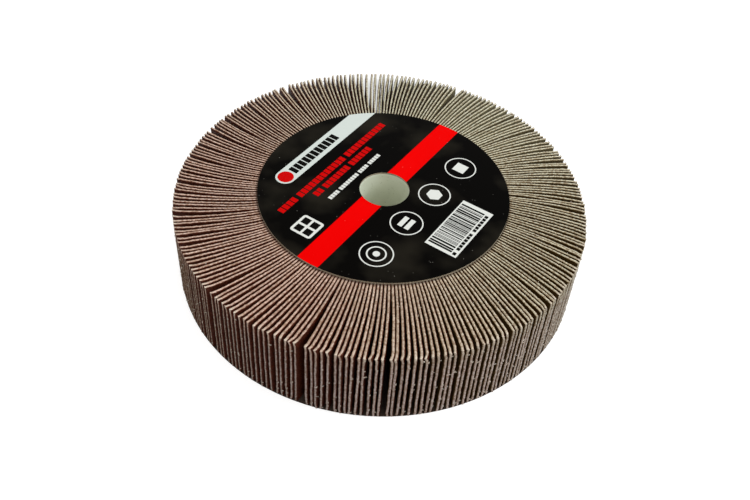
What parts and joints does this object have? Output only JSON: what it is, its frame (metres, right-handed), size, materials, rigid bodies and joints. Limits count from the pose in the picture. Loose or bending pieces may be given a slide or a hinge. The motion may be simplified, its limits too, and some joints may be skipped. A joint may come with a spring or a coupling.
{
  "type": "flap wheel",
  "caption": "Radial sanding wheel: leaves of abrasive cloth stand on edge around a cast resin core with a plain bore, under a printed card disc.",
  "frame": {"origin": "centre of the bore, in the plane of the underside that the wheel rests on", "axes": "+Z along the bore, out of the face with the card disc; +X and +Y in the underside's plane"},
  "size_m": [0.165, 0.165, 0.0337],
  "materials": {
    "resin": "satin cast resin",
    "card": "gloss laminated print",
    "abrasive_cloth": "resin-bonded cloth with a coat of abrasive grain on one face"
  },
  "bodies": {
    "root": {"resin_core": "resin", "label_disc": "card", "flap_pack_01": "abrasive_cloth", "flap_pack_02": "abrasive_cloth", "flap_pack_03": "abrasive_cloth", "flap_pack_04": "abrasive_cloth", "flap_pack_05": "abrasive_cloth", "flap_pack_06": "abrasive_cloth", "flap_pack_07": "abrasive_cloth", "flap_pack_08": "abrasive_cloth", "flap_pack_09": "abrasive_cloth", "flap_pack_10": "abrasive_cloth", "flap_pack_11": "abrasive_cloth", "flap_pack_12": "abrasive_cloth", "flap_pack_13": "abrasive_cloth", "flap_pack_14": "abrasive_cloth", "flap_pack_15": "abrasive_cloth", "flap_pack_16": "abrasive_cloth", "flap_pack_17": "abrasive_cloth", "flap_pack_18": "abrasive_cloth", "flap_pack_19": "abrasive_cloth", "flap_pack_20": "abrasive_cloth", "flap_pack_21": "abrasive_cloth", "flap_pack_22": "abrasive_cloth", "flap_pack_23": "abrasive_cloth", "flap_pack_24": "abrasive_cloth", "flap_pack_25": "abrasive_cloth", "flap_pack_26": "abrasive_cloth", "flap_pack_27": "abrasive_cloth", "flap_pack_28": "abrasive_cloth", "flap_pack_29": "abrasive_cloth", "flap_pack_30": "abrasive_cloth", "flap_pack_31": "abrasive_cloth", "flap_pack_32": "abrasive_cloth", "flap_pack_33": "abrasive_cloth", "flap_pack_34": "abrasive_cloth", "flap_pack_35": "abrasive_cloth", "flap_pack_36": "abrasive_cloth", "flap_pack_37": "abrasive_cloth", "flap_pack_38": "abrasive_cloth", "flap_pack_39": "abrasive_cloth", "flap_pack_40": "abrasive_cloth", "flap_pack_41": "abrasive_cloth", "flap_pack_42": "abrasive_cloth", "flap_pack_43": "abrasive_cloth", "flap_pack_44": "abrasive_cloth", "flap_pack_45": "abrasive_cloth", "flap_pack_46": "abrasive_cloth", "flap_pack_47": "abrasive_cloth", "flap_pack_48": "abrasive_cloth", "flap_pack_49": "abrasive_cloth", "flap_pack_50": "abrasive_cloth"}
  },
  "joints": []
}
